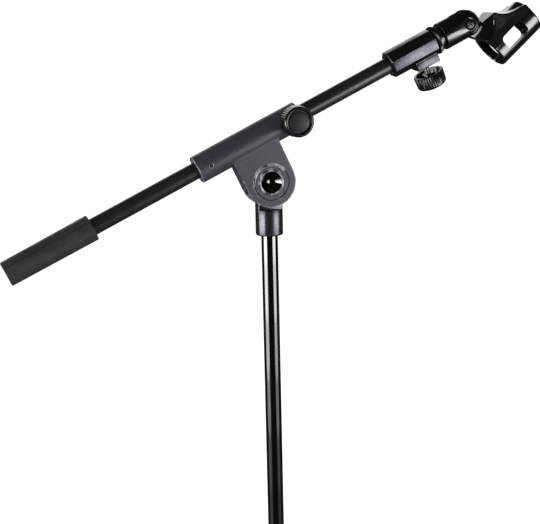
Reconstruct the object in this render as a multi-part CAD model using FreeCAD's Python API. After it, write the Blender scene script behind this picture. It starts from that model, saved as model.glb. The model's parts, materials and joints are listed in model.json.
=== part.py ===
import FreeCAD, Part
import math
import os

os.makedirs("parts", exist_ok=True)
V = FreeCAD.Vector

# ---- overall sizes, mm: each may be changed on its own ------------------------------------
pivot_height = 1180.0          # tilt pivot above the floor
leg_reach = 284.0              # shaft axis to the far end of a foot
hinge_height = 76.0            # leg hinge bolts above the floor
shaft_r = 8.0                  # upper tube
boom_r = 8.0                   # outer boom tube
arm_r = 6.3                    # telescopic inner boom tube
boom_tilt = 24.9               # degrees, front end up, as stored
boom_drop = 42.5               # pivot to boom axis
clutch_top_height = 795.0      # top of the height clutch
mast_overlap = 330.0           # upper tube inside the lower tube

# ---- stations along the boom, mm ahead of the pivot's foot ---------------------------------
weight_rear = -257.5
weight_front = -168.0
sleeve_rear = -57.5
sleeve_front = 54.3
boom_knob_at = 45.0
clamp_rear = 156.3
clamp_front = 206.5
end_knob_at = 191.0
clip_seat = 212.6              # rear face of the clip's thread insert
clip_base_rear = 216.3
clip_screw_at = 244.4

# ---- sections ------------------------------------------------------------------------------
leg_r = 8.0
tube_wall = 1.2
post_wall = 1.5
post_play = 1.5                # upper tube to the bore of the lower tube
post_r = shaft_r + post_play + post_wall
sleeve_r = 13.5
ear_r = 24.2                   # lobe round the pivot
ear_thick = 22.6
tongue_thick = 12.6
collar_r = 13.2
clamp_flat = 12.6              # axis to a flat of the octagonal end clamp
end_knob_roll = 6.0            # degrees the lower knob leans away from the side seen
knob_r = 14.5
knob_height = 13.5
knob_wall = 2.4
cap_r = 10.6
screw_r = 3.0
bolt_r = 4.0
clip_r = 17.6                  # clip barrel, outside, at its rear end
clip_bore_r = 14.6
clip_length = 53.0
clip_drop = 40.5               # clip screw to the axis of the barrel
clip_tilt = 17.6               # degrees, barrel to boom, as stored
clip_setback = 1.6             # clip screw behind the rear of the barrel
base_r = 13.8
dome_r = 14.2

# ---- named clearances ----------------------------------------------------------------------
run = 0.05                     # radial, turning and sliding fits
near = 0.3                     # faces that only pass each other
lift = 0.4                     # across the clevises


# ---- small shape helpers -------------------------------------------------------------------
def rod(r, start, length, axis=V(0, 0, 1)):
    return Part.makeCylinder(r, length, start, axis)


def ring(r_out, r_in, start, length, axis=V(0, 0, 1)):
    return rod(r_out, start, length, axis).cut(rod(r_in, start, length, axis))


def block(x0, x1, y0, y1, z0, z1):
    return Part.makeBox(x1 - x0, y1 - y0, z1 - z0, V(x0, y0, z0))


def polygon(points):
    return Part.makePolygon(points + [points[0]])


def extrude(points, along):
    return Part.Face(Part.Wire(polygon(points))).extrude(along)


def turned(shape, degrees, centre, axis):
    return shape.rotated(centre, axis, degrees)


def save(name, *shapes):
    solids = [s for shape in shapes for s in shape.Solids]
    body = solids[0] if len(solids) == 1 else Part.makeCompound(solids)
    body.exportStep("parts/" + name + ".step")
    volume = sum(s.Volume for s in solids)
    print(name, len(solids), round(volume, 1), body.isValid())


# ---- frames: the boom is drawn lying along +X through (0, 0, boom_drop) above the pivot ----
PIVOT = V(0, 0, pivot_height)
X, Y, Z = V(1, 0, 0), V(0, 1, 0), V(0, 0, 1)
ORIGIN = V(0, 0, 0)


def along(s, n=0.0, y=0.0):
    """Point at station s on the boom, n above its axis."""
    return V(s, y, boom_drop + n)


def to_stand(shape):
    """Tilt a shape of the boom about the pivot and lift it to its height."""
    moved = turned(shape, -boom_tilt, ORIGIN, Y)
    moved.translate(PIVOT)
    return moved


def to_clip(shape):
    """Bring a shape of the clip (barrel along +X from the origin) onto the boom."""
    moved = shape.copy()
    moved.translate(V(clip_setback, 0, -clip_drop))
    moved = turned(moved, -clip_tilt, ORIGIN, Y)
    moved.translate(along(clip_screw_at))
    return to_stand(moved)


# ---- tripod --------------------------------------------------------------------------------
hub_r = post_r + 8.0
hub_bottom = hinge_height - 18.0
hub_top = hinge_height + 34.0
hinge_at = hub_r + 12.0        # hinge bolts from the shaft axis
hinge_bolt_r = 3.0
knuckle_half = 6.0             # leg knuckle half thickness
cheek = 5.0                    # hub cheeks beside each knuckle
knuckle_r = 10.0
foot_half = 13.0               # centre of a foot above the floor
tread = 1.5                    # rounds of a foot pressed flat on the floor
leg_run = leg_reach - foot_half - tread - hinge_at
leg_fall = math.degrees(math.atan((hinge_height - foot_half) / leg_run))
leg_angles = (60.0, 180.0, 300.0)
post_bottom = hub_bottom + 8.0
clutch_height = 62.0
post_top = clutch_top_height - 32.0


def tripod_hub():
    body = rod(hub_r, V(0, 0, hub_bottom), hub_top - hub_bottom)
    rim = [e for e in body.Edges if e.BoundBox.ZMin > hub_top - 0.1]
    body = body.makeFillet(3.0, rim)
    wide = knuckle_half + lift + cheek
    for a in leg_angles:
        arm = block(0, hinge_at, -wide, wide, hub_bottom, hinge_height + 12.0)
        nose = rod(12.0, V(hinge_at, -wide, hinge_height), 2 * wide, Y)
        lug = arm.cut(block(hinge_at, hinge_at + 1, -wide, wide, 0, 200))
        lug = lug.common(block(0, hinge_at + 12.0, -wide, wide, hinge_height - 12.0, hub_top))
        body = body.fuse(turned(lug.fuse(nose), a, ORIGIN, Z))
    for a in leg_angles:
        half = knuckle_half + lift
        slot = block(hinge_at - knuckle_r - 1.2, hinge_at + 20, -half, half, 0, hinge_height + 30)
        bolt = rod(hinge_bolt_r, V(hinge_at, -20, hinge_height), 40, Y)
        body = body.cut(turned(slot, a, ORIGIN, Z)).cut(turned(bolt, a, ORIGIN, Z))
    body = body.cut(rod(post_r, V(0, 0, post_bottom), 200))
    body = body.cut(rod(6.0, V(0, 0, hub_bottom - 1), 20))
    save("tripod_hub", body)


def hub_bottom_cap():
    plate = rod(15.0, V(0, 0, hub_bottom - 3.0), 3.0)
    plug = rod(5.9, V(0, 0, hub_bottom - 0.5), 7.5)
    save("hub_bottom_cap", plate.fuse(plug))


def leg_hinge_bolts():
    half = knuckle_half + lift + cheek
    bolts = []
    for a in leg_angles:
        pin = rod(hinge_bolt_r, V(hinge_at, -half, hinge_height), 2 * half, Y)
        head = rod(5.0, V(hinge_at, -half - 3.0, hinge_height), 3.0, Y)
        nut = rod(5.0, V(hinge_at, half, hinge_height), 3.5, Y)
        bolts.append(turned(pin.fuse(head).fuse(nut), a, ORIGIN, Z))
    save("leg_hinge_bolts", *bolts)


def leg_frame(shape, a):
    """Lay a leg drawn along +X from its hinge down to the floor, at compass angle a."""
    moved = turned(shape, leg_fall, ORIGIN, Y)
    moved.translate(V(hinge_at, 0, hinge_height))
    return turned(moved, a, ORIGIN, Z)


leg_length = leg_run / math.cos(math.radians(leg_fall))


def leg(number, a):
    eye = rod(knuckle_r, V(0, -knuckle_half, 0), 2 * knuckle_half, Y)
    web = block(0, 26, -knuckle_half, knuckle_half, -8, 8)
    spigot = rod(leg_r - tube_wall, V(24, 0, 0), 26, X)
    shoulder = rod(leg_r + 1.0, V(16, 0, 0), 10, X)
    knuckle = eye.fuse(web).fuse(spigot).fuse(shoulder)
    knuckle = knuckle.cut(rod(hinge_bolt_r + run, V(0, -20, 0), 40, Y))
    save("leg_knuckle_%d" % number, leg_frame(knuckle, a))
    tube = ring(leg_r, leg_r - tube_wall, V(26, 0, 0), leg_length - 28, X)
    save("leg_tube_%d" % number, leg_frame(tube, a))
    boot = rod(leg_r + 2.6, V(leg_length - 30, 0, 0), 34, X)
    heel = Part.makeSphere(foot_half + tread, V(leg_length, 0, 0))
    boot = leg_frame(boot.fuse(heel).cut(rod(leg_r, V(leg_length - 31, 0, 0), 29, X)), 0)
    boot = boot.cut(block(0, 2 * leg_reach, -40, 40, -40, 0))
    save("leg_foot_%d" % number, turned(boot, a, ORIGIN, Z))


def lower_tube():
    save("lower_tube", ring(post_r, post_r - post_wall, V(0, 0, post_bottom), post_top - post_bottom))


# ---- height clutch -------------------------------------------------------------------------
clutch_bottom = clutch_top_height - clutch_height
clutch_r = post_r + 6.0
bush_r = post_r - 0.4
clutch_screw_z = clutch_top_height - 12.0
boss_reach = clutch_r + 3.0
clutch_seat = shaft_r + 4.0    # screw tip from the shaft axis


def clutch_housing():
    body = rod(clutch_r, V(0, 0, clutch_bottom), clutch_height)
    ends = [e for e in body.Edges if isinstance(e.Curve, Part.Circle)]
    body = body.makeFillet(2.0, ends)
    boss = rod(8.5, V(0, 0, clutch_screw_z), boss_reach, -Y)
    body = body.fuse(boss)
    body = body.cut(rod(post_r, V(0, 0, clutch_bottom - 1), post_top - clutch_bottom + 1))
    body = body.cut(rod(bush_r + run, V(0, 0, post_top), 14.0))
    body = body.cut(rod(shaft_r + 0.6, V(0, 0, post_top), 60))
    body = body.cut(rod(screw_r + run, V(0, 0, clutch_screw_z), 40, -Y))
    body = body.cut(rod(5.0, V(0, 0, clutch_screw_z), clutch_seat, -Y))
    save("clutch_housing", body)


def clutch_bush():
    save("clutch_bush", ring(bush_r, shaft_r + run, V(0, 0, post_top + 0.3), 13.4))


def clutch_shoe():
    pad = rod(4.95, V(0, 0, clutch_screw_z), clutch_seat - 0.5, -Y)
    save("clutch_shoe", pad.cut(rod(shaft_r + near, V(0, 0, 0), 2000)))


# ---- knobs: open rim at the origin, face at +X * knob_height ---------------------------------
def knob_shapes(screw_from, place):
    """Skirt, cap and screw of one knob; place() carries them to the stand."""
    body = rod(knob_r, ORIGIN, knob_height, X)
    face = [e for e in body.Edges if e.BoundBox.XMin > knob_height - 0.1 and isinstance(e.Curve, Part.Circle)]
    body = body.makeFillet(1.8, face)
    hollow = ring(knob_r - knob_wall, 6.0, V(-1, 0, 0), knob_height - 4.0 + 1.0, X)
    body = body.cut(hollow).cut(rod(cap_r, V(knob_height - 1.2, 0, 0), 5, X))
    body = body.cut(rod(screw_r, V(-1, 0, 0), knob_height - 2.8, X))
    dome_h = 1.6
    big = (cap_r ** 2 + dome_h ** 2) / (2 * dome_h)
    dome = Part.makeSphere(big, V(knob_height + 0.8 - big, 0, 0))
    cap = rod(cap_r - 0.1, V(knob_height - 1.2, 0, 0), 2.2, X).common(dome)
    screw = rod(screw_r, V(screw_from, 0, 0), knob_height - 3.8 - screw_from, X)
    return place(body), place(cap), place(screw)


def save_knob(name, shapes):
    save(name, shapes[0])
    save(name + "_cap", shapes[1])
    save(name + "_screw", shapes[2])


def clutch_knob():
    def place(shape):
        moved = turned(shape, -90, ORIGIN, Z)
        moved.translate(V(0, -boss_reach - 0.8, clutch_screw_z))
        return moved
    start = clutch_seat - (boss_reach + 0.8)
    save_knob("clutch_knob", knob_shapes(start, place))


# ---- mast and swivel head --------------------------------------------------------------------
ledge = -ear_r - 2.8           # flat ledge below the pivot
collar_bottom = -52.0
mast_bottom = clutch_top_height - mast_overlap
tongue_r = 21.5
guide_r = post_r - post_wall - near


def upper_tube():
    top = pivot_height + collar_bottom + 14.0
    save("upper_tube", ring(shaft_r, shaft_r - tube_wall, V(0, 0, mast_bottom), top - mast_bottom))


def upper_tube_guide():
    sleeve = rod(guide_r, V(0, 0, mast_bottom - 6.0), 6.0)
    plug = rod(shaft_r - tube_wall, V(0, 0, mast_bottom - 1.0), 16.0)
    save("upper_tube_guide", sleeve.fuse(plug).cut(rod(4.0, V(0, 0, mast_bottom - 7), 30)))


def swivel_head():
    body = rod(collar_r, V(0, 0, collar_bottom), ledge - collar_bottom)
    foot = [e for e in body.Edges if e.BoundBox.ZMax < collar_bottom + 0.1]
    body = body.makeFillet(1.5, foot)
    half = tongue_thick / 2
    disc = rod(tongue_r, V(0, -half, 0), tongue_thick, Y)
    neck = rod(collar_r, V(0, 0, ledge - 1), 1 - ledge).common(block(-20, 20, -half, half, -60, 0))
    body = body.fuse(disc).fuse(neck)
    body = body.cut(rod(bolt_r + run, V(0, -20, 0), 40, Y))
    body = body.cut(rod(shaft_r, V(0, 0, collar_bottom - 1), 15.0))
    body.translate(PIVOT)
    save("swivel_head", body.cut(rod(1.5, V(0, 0, pivot_height + collar_bottom + 7), collar_r, Y)))


def head_grub_screw():
    base = V(0, shaft_r, pivot_height + collar_bottom + 7)
    save("head_grub_screw", rod(1.5, base, collar_r - shaft_r - 0.6, Y))


# ---- boom casting and tilt pivot -------------------------------------------------------------
bore_r = boom_r + 2.0          # sleeve bore round the nylon bushes
slot_half = tongue_thick / 2 + near
rear_bush_length = 24.0
front_bush_at = 6.0
front_bush_length = 28.0
lip = 1.5
groove_out = 17.0
groove_in = 13.2
dish_r = 9.8


def boom_casting():
    sleeve = rod(sleeve_r, along(sleeve_rear), sleeve_front - sleeve_rear, X)
    ends = [e for e in sleeve.Edges if isinstance(e.Curve, Part.Circle)]
    sleeve = sleeve.makeFillet(1.0, ends)
    half = ear_thick / 2
    ear = block(-ear_r, ear_r, -half, half, 0, boom_drop)
    ear = ear.fuse(rod(ear_r, V(0, -half, 0), ear_thick, Y))
    ear = ear.removeSplitter()
    boss = rod(9.5, along(boom_knob_at), 16.0, -Y)
    body = sleeve.fuse(ear).fuse(boss)
    slot = block(-60, 60, -slot_half, slot_half, -60, 0)
    slot = slot.fuse(rod(tongue_r + 1.2, V(0, -slot_half, 0), 2 * slot_half, Y))
    slot = slot.fuse(block(-60, 60, -slot_half, slot_half, -60, 4.5))
    body = body.cut(slot)
    length = sleeve_front - sleeve_rear
    body = body.cut(rod(bore_r, along(sleeve_rear + lip), length - lip + 1, X))
    body = body.cut(rod(boom_r + 1.2, along(sleeve_rear - 1), 10, X))
    body = body.cut(rod(bolt_r, V(0, -40, 0), 80, Y))
    body = body.cut(rod(dish_r, V(0, -half - 1, 0), 4.2, Y))
    body = body.cut(ring(groove_out, groove_in, V(0, -half - 1, 0), 1.8, Y))
    body = body.cut(rod(9.0, V(0, half - 1.2, 0), 5, Y))
    body = body.cut(rod(screw_r + run, along(boom_knob_at), 40, -Y))
    body = body.cut(rod(5.0, along(boom_knob_at), 12.6, -Y))
    body = body.cut(rod(2.0, along(-45.0, 0, -bore_r + 1), 20, -Y))
    save("boom_casting", to_stand(body))


def sleeve_grub_screw():
    save("sleeve_grub_screw", to_stand(rod(1.95, along(-45.0, 0, -bore_r - 0.2), 2.9, -Y)))


def boom_bushes():
    rear = ring(bore_r - run, boom_r + run, along(sleeve_rear + lip + 0.3), rear_bush_length, X)
    front = ring(bore_r - run, boom_r + run, along(front_bush_at), front_bush_length, X)
    save("boom_bush_rear", to_stand(rear))
    save("boom_bush_front", to_stand(front))


def sleeve_end_ring():
    start = boom_knob_at + 6.0
    save("sleeve_end_ring", to_stand(ring(bore_r, boom_r + near, along(start), sleeve_front - start - 0.4, X)))


def boom_clamp_shoe():
    pad = rod(4.95, along(boom_knob_at), 12.4, -Y)
    save("boom_clamp_shoe", to_stand(pad.cut(rod(boom_r + near, along(-400), 800, X))))


def boom_knob():
    def place(shape):
        moved = turned(shape, -90, ORIGIN, Z)
        moved.translate(along(boom_knob_at, 0, -16.8))
        return to_stand(moved)
    save_knob("boom_knob", knob_shapes(12.6 - 16.8, place))


def tilt_bolt():
    half = ear_thick / 2
    shank = rod(bolt_r, V(0, -half + 3.2, 0), 2 * half + 9.0, Y)
    save("tilt_bolt", to_stand(shank))


def pivot_cap():
    half = ear_thick / 2
    dish = rod(dish_r - 0.1, V(0, -half + 0.2, 0), 3.0, Y)
    cone = Part.makeCone(dish_r - 1.0, 2.0, 2.4, V(0, -half, 0), Y)
    save("pivot_cap", to_stand(dish.cut(cone)))


def tilt_washer():
    half = ear_thick / 2
    save("tilt_washer", to_stand(ring(8.9, bolt_r, V(0, half - 1.2, 0), 2.4, Y)))


def tilt_knob():
    """Knob on the far end of the tilt bolt: it turns on the bolt's thread."""
    half = ear_thick / 2

    def place(shape):
        moved = turned(shape, 90, ORIGIN, Z)
        moved.translate(V(0, half + 1.7, 0))
        return to_stand(moved)
    body = rod(knob_r + 3.0, ORIGIN, knob_height + 3.0, X)
    face = [e for e in body.Edges if e.BoundBox.XMin > knob_height and isinstance(e.Curve, Part.Circle)]
    body = body.makeFillet(2.5, face)
    for k in range(6):
        scoop = rod(6.0, V(-1, 0, knob_r + 6.5), knob_height + 6, X)
        body = body.cut(turned(scoop, 60 * k + 30, ORIGIN, X))
    body = body.cut(rod(bolt_r + run, V(-1, 0, 0), 20, X))
    body = body.cut(rod(7.0, V(knob_height + 1.4, 0, 0), 5, X))
    save("tilt_knob", place(body))
    save("tilt_knob_cap", place(rod(6.95, V(knob_height + 1.4, 0, 0), 1.8, X)))


# ---- boom ------------------------------------------------------------------------------------
boom_front = end_knob_at - 7.0
boom_rear = weight_rear + 6.0
core_r = boom_r + 2.2          # steel core of the counterweight


def boom_outer_tube():
    save("boom_outer_tube", to_stand(ring(boom_r, boom_r - tube_wall, along(boom_rear), boom_front - boom_rear, X)))


def counterweight():
    length = weight_front - weight_rear
    shell = Part.makeCone(core_r + 1.9, core_r + 2.4, length, along(weight_rear), X)
    ends = [e for e in shell.Edges if isinstance(e.Curve, Part.Circle)]
    shell = shell.makeFillet(1.2, ends)
    shell = shell.cut(rod(core_r, along(boom_rear), length - 12.0, X))
    shell = shell.cut(rod(boom_r, along(boom_rear), 200, X))
    save("counterweight_casing", to_stand(shell))
    core = ring(core_r, boom_r, along(boom_rear), length - 12.0, X)
    save("counterweight_core", to_stand(core))


def octagon(flat, s0, s1):
    corner = flat / math.cos(math.radians(22.5))
    points = []
    for k in range(8):
        a = math.radians(22.5 + 45 * k)
        points.append(V(s0, corner * math.cos(a), boom_drop + corner * math.sin(a)))
    return extrude(points, V(s1 - s0, 0, 0))


def end_rolled(shape):
    """Swing a piece of the end clamp about the boom, its knob leaning away."""
    return to_stand(turned(shape, end_knob_roll, along(0), X))


pad_drop = 18.4                # boom axis to the pad's face
end_rim_drop = 26.2            # boom axis to the knob's open rim


def end_clamp():
    body = octagon(clamp_flat, clamp_rear, clamp_front)
    pad = block(end_knob_at - 11.7, end_knob_at + 13.4, -8.5, 8.5, boom_drop - pad_drop, boom_drop - 8)
    upright = [e for e in pad.Edges if e.BoundBox.ZLength > 5]
    pad = pad.makeFillet(2.0, upright)
    body = body.fuse(pad)
    body = body.cut(rod(boom_r, along(clamp_rear - 1), boom_front - clamp_rear + 1, X))
    body = body.cut(rod(arm_r + run, along(clamp_rear), 100, X))
    body = body.cut(rod(screw_r + run, along(end_knob_at), 40, -Z))
    body = body.cut(rod(5.0, along(end_knob_at), 14.0, -Z))
    save("end_clamp", end_rolled(body))


def end_clamp_shoe():
    pad = rod(4.95, along(end_knob_at), 13.8, -Z)
    save("end_clamp_shoe", end_rolled(pad.cut(rod(arm_r + near, along(0), 400, X))))


def end_knob():
    def place(shape):
        moved = turned(shape, 90, ORIGIN, Y)
        moved.translate(along(end_knob_at, -end_rim_drop))
        return end_rolled(moved)
    save_knob("end_knob", knob_shapes(14.0 - end_rim_drop, place))


# ---- telescopic arm ---------------------------------------------------------------------------
arm_rear = -205.0
arm_front = clamp_front + 0.3
lock_ring_r = 14.2
stud_r = 7.75                  # plain stand-in for the threaded stud
stud_end = clip_base_rear + 12.0


def inner_tube():
    save("inner_tube", to_stand(ring(arm_r, arm_r - 1.1, along(arm_rear), arm_front - arm_rear, X)))


def inner_tube_guide():
    flange = rod(boom_r - tube_wall - near, along(arm_rear - 5), 5, X)
    save("inner_tube_guide", to_stand(flange.fuse(rod(arm_r - 1.1, along(arm_rear - 1), 13, X))))


def thread_stud():
    body = rod(stud_r, along(arm_front), stud_end - arm_front, X)
    for k in range(6):
        body = body.cut(ring(stud_r + 1, stud_r - 0.5, along(clip_seat - 4.4 + 3.0 * k), 0.6, X))
    body = body.fuse(rod(arm_r - 1.1, along(arm_front - 24), 25, X))
    save("thread_stud", to_stand(body.cut(rod(2.5, along(arm_front - 30), 80, X))))


def lock_ring():
    start = arm_front + 0.6
    body = ring(lock_ring_r, stud_r + run, along(start), 2.6, X)
    body = body.fuse(ring(lock_ring_r - 0.8, stud_r + run, along(start + 2.6), 0.5, X))
    save("lock_ring", to_stand(body))
    washer = ring(lock_ring_r - 1.0, stud_r + run, along(start + 3.1), clip_seat - 0.3 - start - 3.1, X)
    save("lock_washer", to_stand(washer))


# ---- microphone clip ---------------------------------------------------------------------------
fork_half = 4.6
web_half = fork_half - lift
fork_floor = clip_screw_at - 13.6


def clip_base():
    body = rod(base_r, along(clip_base_rear), clip_screw_at - clip_base_rear, X)
    body = body.fuse(Part.makeSphere(dome_r, along(clip_screw_at)))
    body = body.cut(block(fork_floor, clip_screw_at + 40, -fork_half, fork_half, 0, 90))
    body = body.cut(rod(10.6, along(clip_base_rear - 1), stud_end + 1.2 - clip_base_rear + 1, X))
    body = body.cut(rod(6.2, along(clip_screw_at, 0, -20), 10.2, Y))
    body = body.cut(rod(6.2, along(clip_screw_at, 0, 20), 10.2, -Y))
    body = body.cut(rod(2.5, along(clip_screw_at, 0, -20), 40, Y))
    body = body.removeSplitter()
    save("clip_base", to_stand(body))
    sleeve = ring(10.6, stud_r + run, along(clip_seat), stud_end + 1.2 - clip_seat, X)
    save("clip_thread_insert", to_stand(sleeve))


def clip_screw():
    head = rod(5.2, along(clip_screw_at, 0, -12.4), 2.6, Y)
    slot = block(clip_screw_at - 6, clip_screw_at + 6, -13, -11.4, boom_drop - 0.5, boom_drop + 0.5)
    shank = rod(2.5, along(clip_screw_at, 0, -10), 20.5, Y)
    save("clip_screw", to_stand(head.cut(slot).fuse(shank)))
    points = []
    for k in range(6):
        a = math.radians(60 * k)
        points.append(along(clip_screw_at + 5.2 * math.cos(a), 5.2 * math.sin(a), 9.8))
    nut = extrude(points, V(0, 2.6, 0))
    save("clip_nut", to_stand(nut.cut(rod(2.5, along(clip_screw_at), 40, Y))))


def mic_clip():
    """Barrel along +X from the origin; the screw stands over its rear end at +Z."""
    seat = V(-clip_setback, 0, clip_drop)
    top = clip_drop - 9.6
    barrel = Part.makeCone(clip_r, clip_r + 0.7, clip_length, ORIGIN, X)
    profile = [V(-9.0, -20, top), V(24.5, -20, top)]
    centre_x, centre_z, sweep = 56.0, top + 4.0, 31.8
    for k in range(1, 9):
        a = math.radians(188 + k * 8.5)
        profile.append(V(centre_x + sweep * math.cos(a), -20, centre_z + sweep * math.sin(a) * 0.62))
    profile += [V(clip_length, -20, 14), V(clip_length, -20, 0), V(0, -20, 0), V(0, -20, 16)]
    side = extrude(profile, V(0, 40, 0))
    front = [V(-20, -13.2, top + 1), V(-20, 13.2, top + 1), V(-20, 15.0, 16), V(-20, 17.2, 5)]
    front += [V(-20, 17.2, 0), V(-20, -17.2, 0), V(-20, -17.2, 5), V(-20, -15.0, 16)]
    neck = side.common(extrude(front, V(90, 0, 0)))
    body = barrel.fuse(neck)
    body = body.cut(Part.makeSphere(dome_r + 0.6, seat))
    plate = rod(12.0, seat - V(0, web_half, 0), 2 * web_half, Y)
    plate = plate.fuse(block(0, 22, -web_half, web_half, 16.0, clip_drop - 6))
    plate = plate.cut(block(11, 40, -20, 20, clip_drop - 9.0, 60))
    body = body.fuse(plate)
    body = body.cut(rod(2.5 + run, seat - V(0, 30, 0), 60, Y))
    body = body.cut(rod(clip_bore_r, V(-5, 0, 0), clip_length + 10, X))
    for window in (block(11.0, 38.5, -40, 0, -7.2, 8.0), block(8.5, 31.5, 0, 40, -15.0, 8.0)):
        corners = [e for e in window.Edges if e.BoundBox.YLength > 30]
        body = body.cut(window.makeFillet(4.5, corners))
    save("mic_clip", to_clip(body))


for build in (
    tripod_hub, hub_bottom_cap, leg_hinge_bolts, lower_tube,
    clutch_housing, clutch_bush, clutch_shoe, clutch_knob,
    upper_tube, upper_tube_guide, swivel_head, head_grub_screw,
    boom_casting, sleeve_grub_screw, boom_bushes, sleeve_end_ring, boom_clamp_shoe, boom_knob,
    tilt_bolt, pivot_cap, tilt_washer, tilt_knob,
    boom_outer_tube, counterweight, end_clamp, end_clamp_shoe, end_knob,
    inner_tube, inner_tube_guide, thread_stud, lock_ring,
    clip_base, clip_screw, mic_clip,
):
    build()
for i, angle in enumerate(leg_angles):
    leg(i + 1, angle)
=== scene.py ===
import bpy
import json
import math
from mathutils import Matrix, Vector


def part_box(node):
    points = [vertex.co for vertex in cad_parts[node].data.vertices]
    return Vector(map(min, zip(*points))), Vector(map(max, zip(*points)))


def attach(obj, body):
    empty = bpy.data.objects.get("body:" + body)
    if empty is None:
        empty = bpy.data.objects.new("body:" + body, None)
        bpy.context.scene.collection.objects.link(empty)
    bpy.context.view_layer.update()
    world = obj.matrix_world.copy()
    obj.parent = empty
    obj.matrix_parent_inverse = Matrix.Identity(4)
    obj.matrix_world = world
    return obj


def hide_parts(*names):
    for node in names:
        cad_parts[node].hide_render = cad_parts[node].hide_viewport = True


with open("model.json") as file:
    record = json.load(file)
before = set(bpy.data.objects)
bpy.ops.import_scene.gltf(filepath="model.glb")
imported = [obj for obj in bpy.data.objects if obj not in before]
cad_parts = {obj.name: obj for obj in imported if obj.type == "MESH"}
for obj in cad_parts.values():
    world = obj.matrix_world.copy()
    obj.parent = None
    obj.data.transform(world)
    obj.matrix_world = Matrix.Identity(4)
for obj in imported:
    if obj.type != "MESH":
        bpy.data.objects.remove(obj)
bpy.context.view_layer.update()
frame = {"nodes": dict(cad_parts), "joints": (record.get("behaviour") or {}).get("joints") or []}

# ==== UPPER TUBE ==================================================================================
# The inner tube of the telescopic mast: 16 mm steel tube, seam-welded, ground and stoved in gloss
# black enamel. It slides in the clutch and its top end is pressed into the swivel head.


def lone(piece):
    """Leave only this piece selected, ready for an operator."""
    bpy.ops.object.select_all(action="DESELECT")
    piece.select_set(True)
    bpy.context.view_layer.objects.active = piece


def turn_up(name, steps, around=96):
    """Turn a piece about Z: a circle extruded and sized ring by ring through (radius, height), mm."""
    bpy.ops.object.select_all(action="DESELECT")
    radius, height = max(steps[0][0], 0.001), steps[0][1]
    bpy.ops.mesh.primitive_circle_add(vertices=around, radius=radius)
    piece = bpy.context.object
    piece.name = name
    bpy.ops.object.mode_set(mode="EDIT")
    bpy.ops.transform.translate(value=(0, 0, height))
    for step_radius, step_height in steps[1:]:
        step_radius = max(step_radius, 0.001)
        bpy.ops.mesh.extrude_region_move(TRANSFORM_OT_translate={"value": (0, 0, step_height - height)})
        ratio = step_radius / radius
        bpy.ops.transform.resize(value=(ratio, ratio, 1), center_override=(0, 0, step_height))
        radius, height = step_radius, step_height
    bpy.ops.mesh.select_all(action="SELECT")
    bpy.ops.mesh.remove_doubles(threshold=0.004)
    bpy.ops.mesh.normals_make_consistent(inside=False)
    bpy.ops.object.mode_set(mode="OBJECT")
    return piece


def seat(piece, bench):
    """Carry a piece made at the bench in millimetres to its place on the stand, in metres."""
    piece.matrix_world = bench @ piece.matrix_world
    lone(piece)
    bpy.ops.object.transform_apply(location=True, rotation=True, scale=True)
    return piece


def hand_over(piece, body, slot, finish, *nodes, angle=32):
    """Shade a finished piece, give it its finish, and let it stand for its CAD nodes."""
    lone(piece)
    bpy.ops.object.shade_smooth_by_angle(angle=math.radians(angle))
    piece.data.materials.clear()
    piece.data.materials.append(finish)
    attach(piece, body)
    if nodes:
        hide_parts(*nodes)
    return piece


def new_group(name, inputs, outputs):
    """An empty shader group with named sockets, and its two end nodes."""
    group = bpy.data.node_groups.new(name, "ShaderNodeTree")
    for label, value in inputs:
        socket = group.interface.new_socket(label, in_out="INPUT", socket_type="NodeSocketFloat")
        socket.default_value = value
    for label in outputs:
        group.interface.new_socket(label, in_out="OUTPUT", socket_type="NodeSocketFloat")
    return group, group.nodes.new("NodeGroupInput"), group.nodes.new("NodeGroupOutput")


def add_node(tree, kind, settings=(), values=()):
    node = tree.nodes.new(kind)
    for key, value in settings:
        setattr(node, key, value)
    for socket, value in values:
        node.inputs[socket].default_value = value
    return node


def grain_group():
    """Fine pebbled coat: Height for a bump, Mottle for small changes of tone."""
    group, into, out = new_group("PebbledGrain", [("Cells per metre", 900.0), ("Softness", 0.5)],
                                 ["Height", "Mottle"])
    place = add_node(group, "ShaderNodeTexCoord")
    cells = add_node(group, "ShaderNodeTexVoronoi", [("feature", "SMOOTH_F1")])
    cloud = add_node(group, "ShaderNodeTexNoise", (), [("Detail", 3.0)])
    fewer = add_node(group, "ShaderNodeMath", [("operation", "MULTIPLY")], [(1, 0.35)])
    mixed = add_node(group, "ShaderNodeMix", [("data_type", "FLOAT")])
    join = group.links.new
    join(place.outputs["Object"], cells.inputs["Vector"])
    join(place.outputs["Object"], cloud.inputs["Vector"])
    join(into.outputs["Cells per metre"], cells.inputs["Scale"])
    join(into.outputs["Cells per metre"], fewer.inputs[0])
    join(fewer.outputs[0], cloud.inputs["Scale"])
    join(into.outputs["Softness"], mixed.inputs[0])
    join(cells.outputs["Distance"], mixed.inputs[2])
    join(cloud.outputs[0], mixed.inputs[3])
    join(mixed.outputs[0], out.inputs["Height"])
    join(cloud.outputs[0], out.inputs["Mottle"])
    return group


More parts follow.
